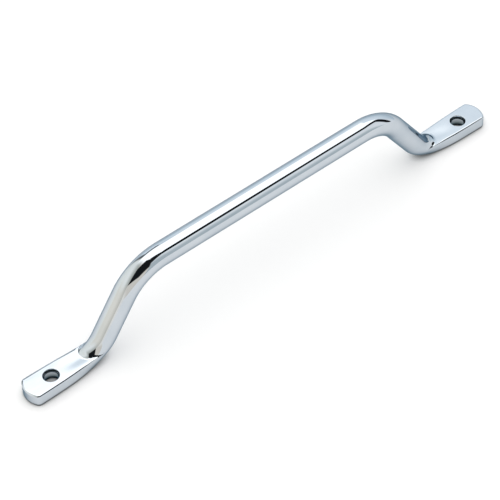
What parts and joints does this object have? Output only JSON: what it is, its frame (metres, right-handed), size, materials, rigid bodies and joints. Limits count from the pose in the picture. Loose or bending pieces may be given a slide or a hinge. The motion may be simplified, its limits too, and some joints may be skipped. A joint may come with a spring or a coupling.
{
  "type": "grab handle",
  "caption": "Grab handle bent from round plated steel bar: straight grip, sloping legs and flattened feet punched for bolts, made to fix on a flat panel as a hand hold.",
  "frame": {"origin": "on the mounting plane under the feet, midway between the bolt holes", "axes": "+X along the grip, +Z away from the mounting plane towards the grip, +Y across the bar"},
  "size_m": [0.2964, 0.0146, 0.0486],
  "materials": {
    "plated_steel": "bright plated steel, smooth and mirror-like with a faint cool tint"
  },
  "bodies": {
    "root": {"grab_handle": "plated_steel"}
  },
  "joints": []
}
